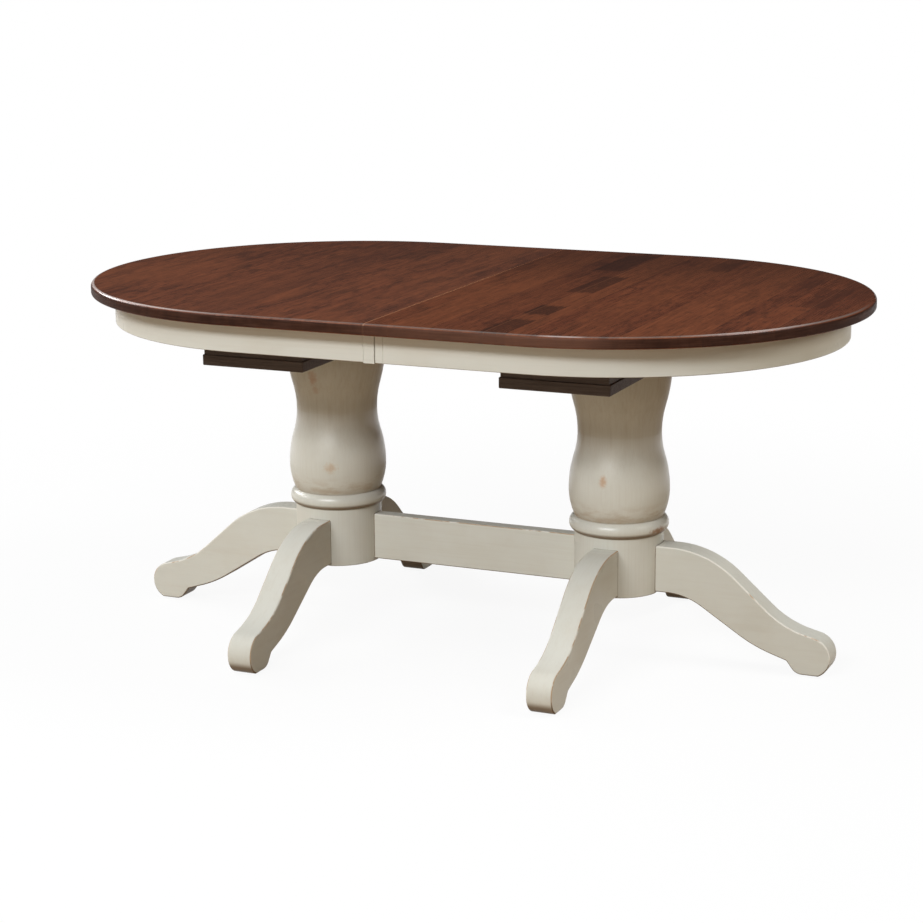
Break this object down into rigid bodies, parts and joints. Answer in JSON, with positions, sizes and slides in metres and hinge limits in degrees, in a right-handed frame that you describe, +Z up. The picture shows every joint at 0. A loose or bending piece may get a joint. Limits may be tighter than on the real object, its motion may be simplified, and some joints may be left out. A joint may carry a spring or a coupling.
{
  "type": "double pedestal dining table",
  "caption": "Oval extension dining table on two turned pedestals with curved legs; the two-part dark top slides open on geared runners over a painted apron.",
  "frame": {"origin": "on the floor under the middle of the closed top", "axes": "+Z up, X along the table's length, Y across it with the seam between the top halves along Y"},
  "size_m": [1.676, 1.067, 0.762],
  "materials": {
    "stained_top": "satin lacquer over dark stain",
    "painted_wood": "glazed cream paint, rubbed through on edges",
    "dark_board": "flat espresso stain",
    "plain_hardwood": "waxed, unstained",
    "zinc_steel": "zinc plated",
    "nylon_gear": "moulded nylon",
    "glide_plastic": "matte"
  },
  "bodies": {
    "base": {"back_fixed_rail": "plain_hardwood", "back_pinion_axle": "zinc_steel", "floor_glides": "glide_plastic", "front_fixed_rail": "plain_hardwood", "front_pinion_axle": "zinc_steel", "left_back_leg": "painted_wood", "left_cleat_screws": "zinc_steel", "left_column": "painted_wood", "left_end_leg": "painted_wood", "left_front_leg": "painted_wood", "left_leg_bolts": "zinc_steel", "left_leg_nuts": "zinc_steel", "left_leg_washers": "zinc_steel", "left_pedestal_plate": "dark_board", "left_plate_screws": "zinc_steel", "left_slide_cleat": "dark_board", "rail_screws": "zinc_steel", "right_back_leg": "painted_wood", "right_cleat_screws": "zinc_steel", "right_column": "painted_wood", "right_end_leg": "painted_wood", "right_front_leg": "painted_wood", "right_leg_bolts": "zinc_steel", "right_leg_nuts": "zinc_steel", "right_leg_washers": "zinc_steel", "right_pedestal_plate": "dark_board", "right_plate_screws": "zinc_steel", "right_slide_cleat": "dark_board", "stretcher": "painted_wood"},
    "left_top": {"left_apron": "painted_wood", "left_apron_end_blocks": "painted_wood", "left_back_rack": "nylon_gear", "left_back_runner": "plain_hardwood", "left_front_rack": "nylon_gear", "left_front_runner": "plain_hardwood", "left_glue_blocks": "plain_hardwood", "left_runner_screws": "zinc_steel", "left_top_panel": "stained_top", "alignment_pins": "plain_hardwood", "lock_plates": "zinc_steel", "lock_pivots": "zinc_steel"},
    "right_top": {"right_apron": "painted_wood", "right_apron_end_blocks": "painted_wood", "right_back_rack": "nylon_gear", "right_back_runner": "plain_hardwood", "right_front_rack": "nylon_gear", "right_front_runner": "plain_hardwood", "right_glue_blocks": "plain_hardwood", "right_runner_screws": "zinc_steel", "right_top_panel": "stained_top", "lock_keepers": "zinc_steel"},
    "front_pinion": {"front_pinion": "nylon_gear"},
    "back_pinion": {"back_pinion": "nylon_gear"},
    "front_lock": {"front_lock_lever": "zinc_steel"},
    "back_lock": {"back_lock_lever": "zinc_steel"}
  },
  "joints": [
    {"name": "left_slide", "type": "slide", "parent": "base", "child": "left_top", "axis": [-1, 0, 0], "range_m": [0, 0.305]},
    {"name": "right_slide", "type": "slide", "parent": "base", "child": "right_top", "axis": [1, 0, 0], "range_m": [0, 0.305]},
    {"name": "front_pinion_spin", "type": "hinge", "parent": "base", "child": "front_pinion", "pos_m": [0, -0.2, 0.685], "axis": [0, 0, 1], "range_deg": [-780, 0]},
    {"name": "back_pinion_spin", "type": "hinge", "parent": "base", "child": "back_pinion", "pos_m": [0, 0.2, 0.685], "axis": [0, 0, 1], "range_deg": [-780, 0]},
    {"name": "front_lock_turn", "type": "hinge", "parent": "left_top", "child": "front_lock", "pos_m": [-0.024, -0.345, 0.734], "axis": [0, 0, 1], "range_deg": [-70, 0]},
    {"name": "back_lock_turn", "type": "hinge", "parent": "left_top", "child": "back_lock", "pos_m": [-0.024, 0.345, 0.734], "axis": [0, 0, 1], "range_deg": [-70, 0]}
  ],
  "couplings": [
    {"joint": "right_slide", "follows": "left_slide", "ratio": 1},
    {"joint": "front_pinion_spin", "follows": "left_slide", "rad_per_m": -44.444},
    {"joint": "back_pinion_spin", "follows": "left_slide", "rad_per_m": -44.444}
  ]
}
